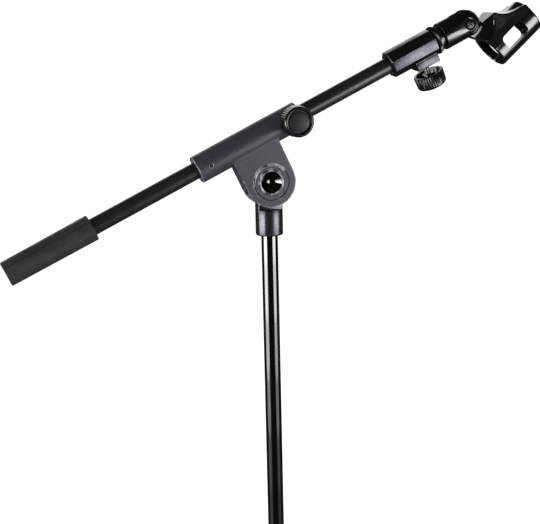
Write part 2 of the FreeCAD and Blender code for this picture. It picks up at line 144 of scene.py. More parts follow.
def wear_and_sheen_group():
    """Handling marks and painted edge sheen: Edge is 1 on scuffed corners, where a lighter colour paints scuffing and,
    on the charcoal coat, a painted highlight; Haze a cloud of finger film, Hairlines fine scratches.
    """
    group, into, out = new_group("HandlingWearAndSheen", [("Edge start", 0.52), ("Edge end", 0.6), ("Haze scale", 60.0)],
                                 ["Edge", "Haze", "Hairlines"])
    shape = add_node(group, "ShaderNodeNewGeometry")
    place = add_node(group, "ShaderNodeTexCoord")
    rub = add_node(group, "ShaderNodeMapRange")
    patch = add_node(group, "ShaderNodeTexNoise", (), [("Detail", 4.0), ("Scale", 140.0)])
    gate = add_node(group, "ShaderNodeMapRange", (), [(1, 0.4), (2, 0.62)])
    worn_and_sheen = add_node(group, "ShaderNodeMath", [("operation", "MULTIPLY")])
    haze = add_node(group, "ShaderNodeTexNoise", (), [("Detail", 5.0)])
    stretch = add_node(group, "ShaderNodeMapping", (), [("Scale", (900.0, 900.0, 60.0))])
    lines = add_node(group, "ShaderNodeTexNoise", (), [("Scale", 1.0), ("Detail", 2.0)])
    join = group.links.new
    # Pointiness picks out convex edges; the lighter colour laid there paints scuffing, and on the charcoal coat a
    # painted highlight as well.
    join(shape.outputs["Pointiness"], rub.inputs[0])
    join(into.outputs["Edge start"], rub.inputs[1])
    join(into.outputs["Edge end"], rub.inputs[2])
    join(place.outputs["Object"], patch.inputs["Vector"])
    join(patch.outputs[0], gate.inputs[0])
    join(rub.outputs[0], worn_and_sheen.inputs[0])
    join(gate.outputs[0], worn_and_sheen.inputs[1])
    join(place.outputs["Object"], haze.inputs["Vector"])
    join(into.outputs["Haze scale"], haze.inputs["Scale"])
    join(place.outputs["Object"], stretch.inputs["Vector"])
    join(stretch.outputs[0], lines.inputs["Vector"])
    join(worn_and_sheen.outputs[0], out.inputs["Edge"])
    join(haze.outputs[0], out.inputs["Haze"])
    join(lines.outputs[0], out.inputs["Hairlines"])
    return group


PEBBLED, WEAR_AND_SHEEN = grain_group(), wear_and_sheen_group()


def mix_finish(name, colour, edge_wear_and_sheen, rough, spread=0.1, metallic=0.0, cells=900.0, softness=0.5, bump=0.0,
               depth=0.0002, mottle=0.15, coat=0.0, edge=(0.54, 0.66), hairline=0.0, specular=0.5):
    """A finish: base colour, a lighter edge colour that paints scuffing and, on the charcoal coat, a painted highlight,
    grain in relief, hazed gloss and an optional clear coat.
    """
    finish = bpy.data.materials.new(name)
    finish.use_nodes = True
    finish.diffuse_color = (*colour, 1.0)
    tree = finish.node_tree
    join = tree.links.new
    shader = tree.nodes["Principled BSDF"]
    grain = add_node(tree, "ShaderNodeGroup", [("node_tree", PEBBLED)],
                     [("Cells per metre", cells), ("Softness", softness)])
    wear_and_sheen = add_node(tree, "ShaderNodeGroup", [("node_tree", WEAR_AND_SHEEN)], [("Edge start", edge[0]), ("Edge end", edge[1])])
    tone = add_node(tree, "ShaderNodeMapRange", (), [(1, 0.3), (2, 0.7), (3, 1.0 - mottle), (4, 1.0 + mottle)])
    base = add_node(tree, "ShaderNodeMix", [("data_type", "RGBA"), ("blend_type", "MULTIPLY")],
                    [(0, 1.0), (6, (*colour, 1.0))])
    mixed = add_node(tree, "ShaderNodeMix", [("data_type", "RGBA")], [(7, (*edge_wear_and_sheen, 1.0))])
    gloss = add_node(tree, "ShaderNodeMapRange", (),
                     [(1, 0.3), (2, 0.7), (3, max(rough - spread, 0.03)), (4, min(rough + spread, 1.0))])
    join(grain.outputs["Mottle"], tone.inputs[0])
    join(tone.outputs[0], base.inputs[7])
    join(wear_and_sheen.outputs["Edge"], mixed.inputs[0])
    join(base.outputs[2], mixed.inputs[6])
    join(mixed.outputs[2], shader.inputs["Base Color"])
    join(wear_and_sheen.outputs["Haze"], gloss.inputs[0])
    join(gloss.outputs[0], shader.inputs["Roughness"])
    shader.inputs["Metallic"].default_value = metallic
    shader.inputs["Specular IOR Level"].default_value = specular
    shader.inputs["Coat Weight"].default_value = coat
    shader.inputs["Coat Roughness"].default_value = 0.04
    relief = add_node(tree, "ShaderNodeBump", (), [("Strength", bump), ("Distance", depth)])
    height = add_node(tree, "ShaderNodeMix", [("data_type", "FLOAT")], [(0, hairline)])
    join(grain.outputs["Height"], height.inputs[2])
    join(wear_and_sheen.outputs["Hairlines"], height.inputs[3])
    join(height.outputs[0], relief.inputs["Height"])
    join(relief.outputs["Normal"], shader.inputs["Normal"])
    return finish


GLOSS_ENAMEL = mix_finish("gloss_enamel", (0.0004, 0.0005, 0.0008), (0.02, 0.02, 0.02), 0.06, 0.02, cells=350,
                          softness=0.9, bump=0.05, depth=0.0001, mottle=0.1, coat=0.5, edge=(0.6, 0.8))
MM = Matrix.Scale(0.001, 4)
mast_low, mast_high = (v.z * 1000 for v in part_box("upper_tube"))
tube = turn_up("upper_tube_enamelled", [
    (6.8, mast_low), (7.7, mast_low), (8.0, mast_low + 0.4), (8.0, mast_low + 240), (8.0, mast_high - 240),
    (8.0, mast_high - 0.4), (7.7, mast_high), (6.8, mast_high), (6.8, mast_low)])
hand_over(seat(tube, MM), "mast", "black_tube", GLOSS_ENAMEL, "upper_tube")

# ==== SWIVEL HEAD =================================================================================
# Turned steel collar on top of the mast, left in its satin black plate. Its upper part is milled
# down on two sides to a tongue that stands between the cheeks of the boom casting.


def bench_box(name, low, high, ease=0.0, steps=2):
    """A block between two corners, its edges eased by a bevel."""
    bpy.ops.object.select_all(action="DESELECT")
    middle = [(a + b) / 2 for a, b in zip(low, high)]
    bpy.ops.mesh.primitive_cube_add(size=1, location=middle)
    block = bpy.context.object
    block.name = name
    block.scale = [b - a for a, b in zip(low, high)]
    bpy.ops.object.transform_apply(location=True, rotation=True, scale=True)
    if ease:
        break_edges(block, ease, steps)
    return block


def break_edges(piece, width, steps=2, angle=32):
    """Round over every edge sharper than the angle."""
    bevel = piece.modifiers.new("broken_edges", "BEVEL")
    bevel.width, bevel.segments = width, steps
    bevel.limit_method, bevel.angle_limit = "ANGLE", math.radians(angle)
    lone(piece)
    bpy.ops.object.modifier_apply(modifier="broken_edges")
    return piece


def work(piece, tool, how="DIFFERENCE"):
    """Cut a tool out of a piece, weld it on, or keep only what they share; the tool is used up."""
    cut = piece.modifiers.new("tool", "BOOLEAN")
    cut.operation, cut.object, cut.solver = how, tool, "EXACT"
    lone(piece)
    bpy.ops.object.modifier_apply(modifier="tool")
    bpy.data.objects.remove(tool, do_unlink=True)
    return piece


def lay(piece, way, place=(0, 0, 0), roll=0.0):
    """Lay a piece turned about Z so that its axis points the given way, then move it on the bench."""
    spin = Vector((0, 0, 1)).rotation_difference(Vector(way)).to_matrix().to_4x4()
    piece.matrix_world = Matrix.Translation(place) @ spin @ Matrix.Rotation(math.radians(roll), 4, "Z") @ piece.matrix_world
    lone(piece)
    bpy.ops.object.transform_apply(location=True, rotation=True, scale=True)
    return piece


joints = {joint["name"]: joint for joint in frame["joints"]}
pivot = Vector(joints["boom_tilt"]["pos_m"])
head_bench = Matrix.Translation(pivot) @ MM
SATIN_PLATE = mix_finish("satin_plate", (0.042, 0.042, 0.049), (0.13, 0.13, 0.14), 0.28, 0.07, metallic=0.92,
                         cells=1300, bump=0.22, depth=0.00012, mottle=0.16, edge=(0.55, 0.7))
tongue_half, collar_r, ledge = 6.3, 13.2, -27.0
collar = turn_up("collar", [
    (0, -38), (8.0, -38), (8.0, -51.2), (8.7, -52), (11.9, -52), (12.6, -51.75), (13.05, -51.2), (collar_r, -50.4),
    (collar_r, -40), (collar_r, -8), (0, -8)])
for side in (-1, 1):
    work(collar, bench_box("mill", (-20, min(side * tongue_half, side * 30), ledge),
                           (20, max(side * tongue_half, side * 30), 0)))
break_edges(collar, 0.35)
tongue = lay(turn_up("tongue", [(0, -tongue_half), (20.9, -tongue_half), (21.5, -tongue_half + 0.6),
                                (21.5, tongue_half - 0.6), (20.9, tongue_half), (0, tongue_half)]), (0, 1, 0))
work(collar, tongue, "UNION")
work(collar, lay(turn_up("bolt_hole", [(0, -10), (4.05, -10), (4.05, 10), (0, 10)], 48), (0, 1, 0)))
collar.name = "swivel_head_turned"
hand_over(seat(collar, head_bench), "mast", "steel", SATIN_PLATE, "swivel_head")

# ==== BOOM CASTING ================================================================================
# One zinc casting in fine-grained charcoal powder coat: the sleeve that carries the boom, and under
# it two cheeks round the tongue. A raised lip and a ring groove frame the bolt cap.
boom_way = Vector(joints["boom_slide"]["axis"]).normalized()
across = Vector((0, 1, 0))
boom_up = boom_way.cross(across)
axes = Matrix((boom_way, across, boom_up)).transposed().to_4x4()
ear_bench = Matrix.Translation(pivot) @ axes @ MM
boom_drop = 42.5
boom_bench = Matrix.Translation(pivot + boom_up * boom_drop * 0.001) @ axes @ MM


def recast(piece, grain, smooth):
    """Cast the joined shapes as one: a voxel remesh, then smoothing that leaves soft fillets."""
    skin = piece.modifiers.new("skin", "REMESH")
    skin.mode, skin.voxel_size = "VOXEL", grain
    soft = piece.modifiers.new("soft", "SMOOTH")
    soft.factor, soft.iterations = 0.5, smooth
    lone(piece)
    bpy.ops.object.modifier_apply(modifier="skin")
    bpy.ops.object.modifier_apply(modifier="soft")
    return piece


def gather(first, *others):
    """Join shapes into one mesh without cutting them."""
    bpy.ops.object.select_all(action="DESELECT")
    for shape in others:
        shape.select_set(True)
    first.select_set(True)
    bpy.context.view_layer.objects.active = first
    bpy.ops.object.join()
    return first


# The pale edge colour of this coat, 0.34 against a base of 0.015, paints a highlight along the sharp edges of every
# casting it coats, in patches, as well as scuffing.
CAST_COAT = mix_finish("charcoal_powder_coat", (0.015, 0.016, 0.0215), (0.34, 0.34, 0.38), 0.4, 0.07, cells=1100,
                       softness=0.45, bump=0.5, depth=0.0002, mottle=0.2, edge=(0.515, 0.57), specular=0.34)
cheek_out, slot_half, ear_r = 11.3, 6.6, 24.2
sleeve_rear, sleeve_front, sleeve_r = -57.5, 54.3, 13.5
knob_at = 45.0
sleeve = lay(turn_up("sleeve", [(0, sleeve_rear), (sleeve_r - 0.5, sleeve_rear), (sleeve_r, sleeve_rear + 0.6),
                                (sleeve_r, sleeve_front - 0.6), (sleeve_r - 0.6, sleeve_front), (0, sleeve_front)]),
             (1, 0, 0), (0, 0, boom_drop))
ear = lay(turn_up("ear", [(0, -cheek_out), (ear_r, -cheek_out), (ear_r, cheek_out), (0, cheek_out)]), (0, 1, 0))
web = bench_box("web", (-ear_r, -cheek_out, 0), (ear_r, cheek_out, boom_drop))
boss = lay(turn_up("boss", [(0, 0), (9.5, 0), (9.5, 15.8), (0, 15.8)], 64), (0, -1, 0), (knob_at, 0, boom_drop))
casting = recast(gather(sleeve, ear, web, boss), 0.62, 5)
casting.name = "boom_casting_coated"
lip = lay(turn_up("lip", [(10.4, 9.0), (10.4, 11.6), (10.7, 12.0), (11.2, 12.15), (11.8, 12.0), (12.1, 11.4),
                          (12.1, 9.0), (10.4, 9.0)]), (0, -1, 0))
work(casting, lay(turn_up("bolt_seat", [(0, 20), (12.6, 20), (12.7, 11.3), (12.5, 10.4), (10.4, 10.4), (10.4, 9.5),
                                        (3.9, 5.6), (0, 5.6)]), (0, -1, 0)))
work(casting, lip, "UNION")
work(casting, lay(turn_up("ring_groove", [(17.9, 12.5), (17.9, 11.3), (17.5, 10.2), (16.9, 10.2), (16.2, 11.3),
                                          (16.2, 12.5), (17.9, 12.5)]), (0, -1, 0)))
slot_tool = lay(turn_up("tongue_room", [(0, -slot_half), (22.7, -slot_half), (22.7, slot_half), (0, slot_half)]),
                (0, 1, 0))
work(slot_tool, bench_box("slot", (-60, -slot_half, -60), (60, slot_half, 4.5)), "UNION")
work(casting, slot_tool)
bore = lay(turn_up("bore", [(0, -62), (10.2, -62), (10.2, sleeve_rear - 0.1), (9.2, sleeve_rear + 0.9),
                            (9.2, -56), (10, -56), (10, sleeve_front - 0.8), (10.8, sleeve_front + 0.1),
                            (10.8, 60), (0, 60)]), (1, 0, 0), (0, 0, boom_drop))
work(casting, bore)
work(casting, lay(turn_up("bolt_way", [(0, -20), (9.0, -20), (9.0, -10.1), (4.0, -10.1), (4.0, 20), (0, 20)], 64),
                  (0, -1, 0)))
work(casting, lay(turn_up("screw_way", [(0, 0), (5.0, 0), (5.0, 12.6), (3.1, 12.6), (3.1, 20), (0, 20)], 48),
                  (0, -1, 0), (knob_at, 0, boom_drop)))
work(casting, lay(turn_up("grub_way", [(0, 9), (1.6, 9), (1.6, 12.9), (2.9, 13.9), (0, 13.9)], 32), (0, -1, 0),
                  (-45, 0, boom_drop)))
hand_over(seat(casting, ear_bench), "head", "cast_metal", CAST_COAT, "boom_casting", angle=28)

# ==== BOLT CAP ====================================================================================
# Glossy black plastic cap pushed into the near end of the tilt bolt's seat. Its face is a deep
# funnel, so it always holds one hard reflection.
GLOSS_PLASTIC = mix_finish("gloss_plastic", (0.0004, 0.0004, 0.0006), (0.02, 0.02, 0.02), 0.07, 0.02, cells=500,
                           softness=0.9, bump=0.03, depth=0.0001, mottle=0.1, coat=0.4, edge=(0.6, 0.8))
cap = lay(turn_up("pivot_cap_funnel", [
    (0, 5.65), (3.8, 5.65), (10.2, 9.4), (10.35, 9.8), (10.35, 11.5), (10.1, 11.75), (9.8, 11.6), (9.5, 11.1),
    (3.0, 6.1), (2.4, 5.8), (0, 5.75)]), (0, -1, 0))
hand_over(seat(cap, ear_bench), "head", "knob_plastic", GLOSS_PLASTIC, "pivot_cap", angle=40)

# ==== HAND KNOBS ==================================================================================
# Boom, extension and mast-clutch knobs are one moulding in black nylon: four groups of fine ribs on
# an open skirt, and a grey cap pressed over the screw head. The zinc-plated screw shows in the skirt.


def copy_of(piece, name):
    """A second piece off the same mould, with a mesh of its own."""
    twin = piece.copy()
    twin.data = piece.data.copy()
    twin.name = name
    bpy.context.scene.collection.objects.link(twin)
    return twin


def press(piece, picked, ratio, centre=(0, 0, 0)):
    """Draw the picked vertices towards (or away from) a centre."""
    lone(piece)
    bpy.ops.object.mode_set(mode="EDIT")
    bpy.ops.mesh.select_mode(type="VERT")
    bpy.ops.mesh.select_all(action="DESELECT")
    bpy.ops.object.mode_set(mode="OBJECT")
    for vertex in piece.data.vertices:
        vertex.select = picked(vertex.co)
    bpy.ops.object.mode_set(mode="EDIT")
    bpy.ops.transform.resize(value=ratio, center_override=centre)
    bpy.ops.object.mode_set(mode="OBJECT")


def turn_of(co):
    """Where a point lies within its quarter of the knob, in degrees."""
    return math.degrees(math.atan2(co.y, co.x)) % 90.0


KNOB_PLASTIC = mix_finish("moulded_black_nylon", (0.0012, 0.0012, 0.0018), (0.012, 0.012, 0.014), 0.26, 0.05, cells=900,
                          bump=0.06, depth=0.0001, mottle=0.14, edge=(0.56, 0.72), specular=0.42)
CAP_GREY = mix_finish("knob_cap_grey", (0.0045, 0.005, 0.0065), (0.02, 0.02, 0.022), 0.5, 0.06, cells=1300, bump=0.3,
                      depth=0.0001, mottle=0.12, specular=0.2)
ZINC = mix_finish("zinc_plate", (0.6, 0.6, 0.62), (0.8, 0.8, 0.8), 0.24, 0.07, metallic=1.0, cells=900, bump=0.12,
                  mottle=0.12, hairline=0.4)
knob_r, knob_height = 14.5, 13.5
knob = turn_up("knob", [
    (0, 9.7), (3.05, 9.7), (3.05, 0.5), (3.5, 0.1), (5.6, 0.1), (6.0, 0.6), (6.0, 9.2), (6.4, 9.5), (11.6, 9.5),
    (12.1, 9.0), (12.1, 0.4), (12.4, 0.0), (knob_r + 0.1, 0.0), (knob_r + 0.6, 0.5), (knob_r + 0.1, 10.2), (knob_r, 11.2),
    (knob_r - 0.25, 12.2), (knob_r - 0.9, 13.0), (knob_r - 1.9, knob_height), (12.4, knob_height), (11.9, 13.3),
    (11.1, 12.5), (10.6, 12.3), (10.55, 11.6), (0, 11.6)], 240)
for step, draw in ((1.5, 0.993), (3.0, 0.976), (4.5, 0.967), (6.0, 0.976), (7.5, 0.993)):
    press(knob, lambda co: co.z < 11 and math.hypot(co.x, co.y) > 13.9 and turn_of(co) < 62.5
          and abs(turn_of(co) % 9.0 - step) < 0.3, (draw, draw, 1))
for step, draw in ((63, 0.975), (64.5, 0.955), (66, 0.955), (67.5, 0.975), (85.5, 0.975), (87, 0.96), (88.5, 0.975)):
    press(knob, lambda co: co.z < 11 and math.hypot(co.x, co.y) > 13.9 and abs(turn_of(co) - step) < 0.3,
          (draw, draw, 1))
knob_cap = turn_up("knob_cap", [(0, 11.65), (9.9, 11.65), (9.9, 12.8), (9.5, 13.2), (8.0, 13.55), (6.0, 13.85),
                                (3.5, 14.1), (1.5, 14.18), (0, 14.2)], 64)


def threaded(name, start, end, root=2.6, crest=3.0, pitch=1.0):
    """A machine screw's thread turned as close rings."""
    steps = [(0, start), (root - 0.3, start)]
    for k in range(int((end - start - 0.4) / pitch)):
        steps += [(root, start + 0.3 + k * pitch), (crest, start + 0.3 + (k + 0.5) * pitch)]
    return turn_up(name, steps + [(root, end), (0, end)], 48)


end_roll = math.radians(6.0)
end_bench = boom_bench @ Matrix.Rotation(end_roll, 4, "X")
knobs = [("boom_knob", "boom_handle", ear_bench, (0, -1, 0), (knob_at, -16.8, boom_drop), -4.2, 3.6),
         ("end_knob", "end_handle", end_bench, (0, 0, -1), (191.0, 0, -26.2), -12.2, -7.5),
         ("clutch_knob", "clutch_handle", MM, (0, -1, 0), (0, -20.8, 783.0), -8.8, 0.0)]
for node, body, bench, way, place, screw_from, turn in knobs:
    skirt = lay(copy_of(knob, node + "_ribbed"), way, place, turn)
    hand_over(seat(skirt, bench), body, "knob_plastic", KNOB_PLASTIC, node, angle=48)
    badge = lay(copy_of(knob_cap, node + "_cap_domed"), way, place)
    hand_over(seat(badge, bench), body, "knob_plastic", CAP_GREY, node + "_cap", angle=40)
    screw = lay(threaded(node + "_screw_cut", screw_from, 9.65), way, place)
    hand_over(seat(screw, bench), body, "zinc", ZINC, node + "_screw", angle=30)
for pattern in (knob, knob_cap):
    bpy.data.objects.remove(pattern, do_unlink=True)

# ==== TILT KNOB ===================================================================================
# Six-lobed knob on the far end of the tilt bolt, moulded in the same black nylon, with a flat plug
# over its brass insert.
lobed = turn_up("tilt_knob_lobed", [
    (0, 0), (9.2, 0), (9.6, 0.4), (9.6, 2.0), (16.7, 2.0), (17.5, 2.8), (17.5, 14.0), (17.2, 15.2), (16.4, 16.1),
    (15.2, 16.5), (8.0, 16.5), (7.6, 16.3), (7.2, 15.6), (7.0, 14.9), (0, 14.9)], 120)
for k in range(6):
    scoop = turn_up("scoop", [(0, -2), (6.0, -2), (6.0, 20), (0, 20)], 48)
    swing_by = math.radians(60 * k + 30)
    scoop.matrix_world = Matrix.Translation((21 * math.cos(swing_by), 21 * math.sin(swing_by), 0))
    work(lobed, scoop)
break_edges(lobed, 0.7, 3)
work(lobed, turn_up("bolt_room", [(0, -2), (4.05, -2), (4.05, 12), (0, 12)], 48))
hand_over(seat(lay(lobed, (0, 1, 0), (0, 13.0, 0), 20), ear_bench), "tilt_handle", "knob_plastic", KNOB_PLASTIC,
          "tilt_knob", angle=30)
plug = turn_up("tilt_knob_plug", [(0, 14.95), (6.9, 14.95), (6.9, 15.9), (6.6, 16.2), (5.8, 16.25), (5.6, 16.05),
                                  (0, 16.05)], 64)
hand_over(seat(lay(plug, (0, 1, 0), (0, 13.0, 0)), ear_bench), "tilt_handle", "knob_plastic", CAP_GREY,
          "tilt_knob_cap", angle=40)

# ==== BOOM TUBES ==================================================================================
# Steel boom tube in satin black enamel, and the thinner extension tube that slides inside it.
SATIN_ENAMEL = mix_finish("satin_enamel", (0.0052, 0.0053, 0.0064), (0.03, 0.03, 0.032), 0.34, 0.05, cells=900, bump=0.12,
                          depth=0.0001, mottle=0.14, edge=(0.58, 0.76), specular=0.34)
weight_rear, weight_front = -257.5, -168.0
for name, node, body, radius, bore_r, rear, front in [
        ("boom_tube_enamelled", "boom_outer_tube", "boom", 8.0, 6.8, -251.5, 184.0),
        ("extension_tube_enamelled", "inner_tube", "arm", 6.3, 5.2, -205.0, 206.8)]:
    pipe = turn_up(name, [
        (bore_r, rear), (radius - 0.3, rear), (radius, rear + 0.3), (radius, rear + 140), (radius, front - 140),
        (radius, front - 0.3), (radius - 0.3, front), (bore_r, front), (bore_r, rear)])
    hand_over(seat(lay(pipe, (1, 0, 0)), boom_bench), body, "black_tube", SATIN_ENAMEL, node)

# ==== COUNTERWEIGHT ===============================================================================
# Black textured plastic casing pressed over an iron core. Its two halves meet along a fine crease
# on each side, a third of the way down.
CASING = mix_finish("textured_casing", (0.0098, 0.01, 0.0125), (0.02, 0.02, 0.022), 0.5, 0.08, cells=1000,
                    softness=0.4, bump=0.5, depth=0.0002, mottle=0.22, specular=0.28)
rear_r, front_r = 12.1, 12.6
casing = lay(turn_up("counterweight_moulded", [
    (0, weight_rear), (10.9, weight_rear), (rear_r - 0.5, weight_rear + 0.15), (rear_r, weight_rear + 0.7),
    (front_r, weight_front - 0.7), (front_r - 0.5, weight_front - 0.1), (front_r - 1.2, weight_front),
    (9.3, weight_front), (9.0, weight_front - 0.2), (8.6, weight_front - 1.6), (8.05, weight_front - 1.8),
    (8.05, weight_front - 9), (0, weight_front - 9)], 192), (1, 0, 0))
crease_up = 39.0
press(casing, lambda co: math.hypot(co.y, co.z) > 10.9
      and abs(math.degrees(math.atan2(co.z, abs(co.y))) - crease_up) < 0.95, (1, 0.95, 0.95), (0, 0, 0))
hand_over(seat(casing, boom_bench), "boom", "casing_plastic", CASING, "counterweight_casing", angle=20)

# ==== END CLAMP ===================================================================================
# Eight-sided machined clamp at the front of the boom tube, blasted and plated satin black. The pad
# under it carries the knob that locks the extension tube.
CLAMP_PLATE = mix_finish("blasted_plate", (0.036, 0.036, 0.042), (0.12, 0.12, 0.13), 0.3, 0.07, metallic=0.95,
                         cells=1100, softness=0.4, bump=0.4, depth=0.00015, mottle=0.2, edge=(0.55, 0.7))
clamp_rear, clamp_front, clamp_flat = 156.3, 206.5, 12.6
corner = clamp_flat / math.cos(math.radians(22.5))
clamp = lay(turn_up("end_clamp_milled", [
    (0, clamp_rear), (corner - 0.9, clamp_rear), (corner, clamp_rear + 0.9), (corner, clamp_front - 0.6),
    (corner - 0.6, clamp_front), (0, clamp_front)], 8), (1, 0, 0), (0, 0, 0), 22.5)
break_edges(clamp, 0.3, 2, 20)
work(clamp, bench_box("pad_neck", (179.9, -7.9, -14.2), (203.8, 7.9, -6)), "UNION")
work(clamp, bench_box("pad", (179.3, -8.5, -18.4), (204.4, 8.5, -10.1), 1.1, 3), "UNION")
work(clamp, lay(turn_up("clamp_bore", [
    (0, clamp_rear - 4), (9.2, clamp_rear - 4), (9.2, clamp_rear - 0.1), (8.1, clamp_rear + 1.0), (8.1, 184),
    (6.4, 184), (6.4, clamp_front - 0.5), (7.2, clamp_front + 0.3), (7.2, 212), (0, 212)]), (1, 0, 0)))
work(clamp, lay(turn_up("clamp_tapping", [
    (0, 0), (5.0, 0), (5.0, 14.0), (3.1, 14.1), (3.1, 17.9), (3.7, 18.6), (3.7, 24), (0, 24)], 48), (0, 0, -1),
    (191.0, 0, 0)))
hand_over(seat(clamp, end_bench), "boom", "cast_metal", CLAMP_PLATE, "end_clamp", angle=20)

# ==== LOCK RING ===================================================================================
# Finely knurled steel ring run up against the clip's thread, with its flat washer.
ring_rear, ring_r = 207.4, 14.2
knurled = lay(turn_up("lock_ring_knurled", [
    (7.85, ring_rear), (ring_r - 0.9, ring_rear), (ring_r - 0.3, ring_rear + 0.3), (ring_r, ring_rear + 0.6),
    (ring_r, ring_rear + 2.2), (ring_r - 0.2, ring_rear + 2.5), (ring_r - 0.8, ring_rear + 2.6),
    (ring_r - 0.8, ring_rear + 3.05), (7.85, ring_rear + 3.05), (7.85, ring_rear)], 144), (1, 0, 0))
press(knurled, lambda co: math.hypot(co.y, co.z) > ring_r - 0.1
      and round(math.degrees(math.atan2(co.z, co.y)) / 2.5) % 2 == 0, (1, 0.975, 0.975))
hand_over(seat(knurled, boom_bench), "jam_ring", "steel", CLAMP_PLATE, "lock_ring", angle=25)
washer = lay(turn_up("lock_washer_turned", [
    (7.85, 210.6), (ring_r - 1.3, 210.6), (ring_r - 1.0, 210.9), (ring_r - 1.0, 212.0), (ring_r - 1.3, 212.25),
    (7.85, 212.25), (7.85, 210.6)], 96), (1, 0, 0))
hand_over(seat(washer, boom_bench), "jam_ring", "steel", SATIN_PLATE, "lock_washer", angle=25)

# ==== CLIP BASE ===================================================================================
# Black nylon foot of the microphone clip: a turned socket with a ball-shaped fork, moulded round a
# steel thread insert, and the pan-head screw and nut that the clip swings on.
CLIP_PLASTIC = mix_finish("clip_nylon", (0.001, 0.001, 0.0015), (0.012, 0.012, 0.014), 0.2, 0.04, cells=900,
                          bump=0.03, depth=0.00005, mottle=0.12, edge=(0.6, 0.78), specular=0.6)
DARK_STEEL = mix_finish("blackened_steel", (0.014, 0.014, 0.016), (0.1, 0.1, 0.1), 0.22, 0.07, metallic=0.9,
                        cells=1000, bump=0.2, mottle=0.15)
base_rear, base_r, dome_r, clip_screw_at = 216.3, 13.8, 14.2, 244.4
steps = [(0, 229.6), (10.65, 229.6), (10.65, base_rear), (base_r - 0.7, base_rear), (base_r - 0.1, base_rear + 0.3),
         (base_r, base_rear + 0.9), (base_r, base_rear + 12)]
for k in range(13):
    swept = math.radians(-13.6 + k * (90 + 13.6) / 12)
    steps.append((dome_r * math.cos(swept), clip_screw_at + dome_r * math.sin(swept)))
foot = lay(turn_up("clip_base_moulded", steps, 128), (1, 0, 0))
work(foot, bench_box("fork_room", (230.8, -4.6, -40), (290, 4.6, 40)))
for side in (-1, 1):
    work(foot, lay(turn_up("screw_room", [(0, 0), (2.5, 0), (2.5, 9.8), (6.2, 9.8), (6.2, 20), (0, 20)], 64),
                   (0, side, 0), (clip_screw_at, 0, 0)))
break_edges(foot, 0.3, 2, 40)
hand_over(seat(foot, boom_bench), "clip_foot", "nylon", CLIP_PLASTIC, "clip_base", angle=35)
socket = lay(turn_up("thread_insert_turned", [
    (7.85, 212.6), (9.9, 212.6), (10.5, 213.1), (10.5, 229.5), (7.85, 229.5), (7.85, 212.6)], 96), (1, 0, 0))
hand_over(seat(socket, boom_bench), "clip_foot", "brass", DARK_STEEL, "clip_thread_insert", angle=25)
pan = turn_up("clip_screw_pan", [
    (0, -10.3), (2.45, -10.3), (2.45, 9.85), (4.8, 9.85), (5.2, 10.2), (5.1, 11.2), (4.5, 11.95), (3.2, 12.35),
    (0, 12.4)], 64)
for arm_half in ((3.0, 0.5), (0.5, 3.0)):
    work(pan, bench_box("driver", (-arm_half[0], -arm_half[1], 10.6), (arm_half[0], arm_half[1], 14)))
hand_over(seat(lay(pan, (0, -1, 0), (clip_screw_at, 0, 0), 30), boom_bench), "clip_foot", "steel", DARK_STEEL,
          "clip_screw", angle=30)
nut = turn_up("clip_nut_hex", [(2.5, 9.85), (4.7, 9.85), (5.2, 10.2), (5.2, 12.0), (4.7, 12.35), (2.9, 12.35),
                               (2.5, 12.0), (2.5, 9.85)], 6)
hand_over(seat(lay(nut, (0, 1, 0), (clip_screw_at, 0, 0)), boom_bench), "clip_foot", "steel", DARK_STEEL,
          "clip_nut", angle=25)

# ==== MICROPHONE CLIP =============================================================================
# Black nylon barrel with a window in each side, hung from a deep saddle that cups the ball of its
# base. The web inside the saddle takes the screw.


def saw_out(name, outline, thick, plane):
    """A plate of the given outline, thick along Y (plane XZ) or along X (plane YZ)."""
    bpy.ops.object.select_all(action="DESELECT")
    bpy.ops.mesh.primitive_circle_add(vertices=len(outline), radius=1, fill_type="NGON")
    sheet = bpy.context.object
    sheet.name = name
    for vertex, (u, v) in zip(sheet.data.vertices, outline):
        vertex.co = (u, 0, v) if plane == "XZ" else (0, u, v)
    way = Vector((0, thick, 0)) if plane == "XZ" else Vector((thick, 0, 0))
    bpy.ops.object.mode_set(mode="EDIT")
    bpy.ops.mesh.select_all(action="SELECT")
    bpy.ops.transform.translate(value=-way / 2)
    bpy.ops.mesh.extrude_region_move(TRANSFORM_OT_translate={"value": way})
    bpy.ops.mesh.select_all(action="SELECT")
    bpy.ops.mesh.normals_make_consistent(inside=False)
    bpy.ops.object.mode_set(mode="OBJECT")
    return sheet


clip_drop, clip_setback, clip_length, clip_r, clip_bore = 40.5, 1.6, 53.0, 17.6, 14.6
clip_bench = (boom_bench @ Matrix.Translation((clip_screw_at, 0, 0)) @ Matrix.Rotation(math.radians(-17.6), 4, "Y")
              @ Matrix.Translation((clip_setback, 0, -clip_drop)))
saddle_top = clip_drop - 9.6
flank = [(-9.0, saddle_top), (24.5, saddle_top)]
for k in range(1, 9):
    swept = math.radians(188 + k * 8.5)
    flank.append((56.0 + 31.8 * math.cos(swept), saddle_top + 4.0 + 31.8 * math.sin(swept) * 0.62))
flank += [(clip_length, 14), (clip_length, 0), (0, 0), (0, 16)]
section = [(-13.2, saddle_top + 1), (13.2, saddle_top + 1), (15.0, 16), (17.2, 5), (17.2, 0), (-17.2, 0), (-17.2, 5),
           (-15.0, 16)]
clip = work(saw_out("saddle", flank, 40, "XZ"), saw_out("section", section, 140, "YZ"), "INTERSECT")
barrel = lay(turn_up("barrel", [
    (0, 0), (clip_r - 1.6, 0), (clip_r - 0.6, 0.5), (clip_r, 1.6), (clip_r + 0.7, clip_length - 1.2),
    (clip_r + 0.4, clip_length - 0.3), (clip_r - 0.4, clip_length), (0, clip_length)], 128), (1, 0, 0))
work(clip, barrel, "UNION")
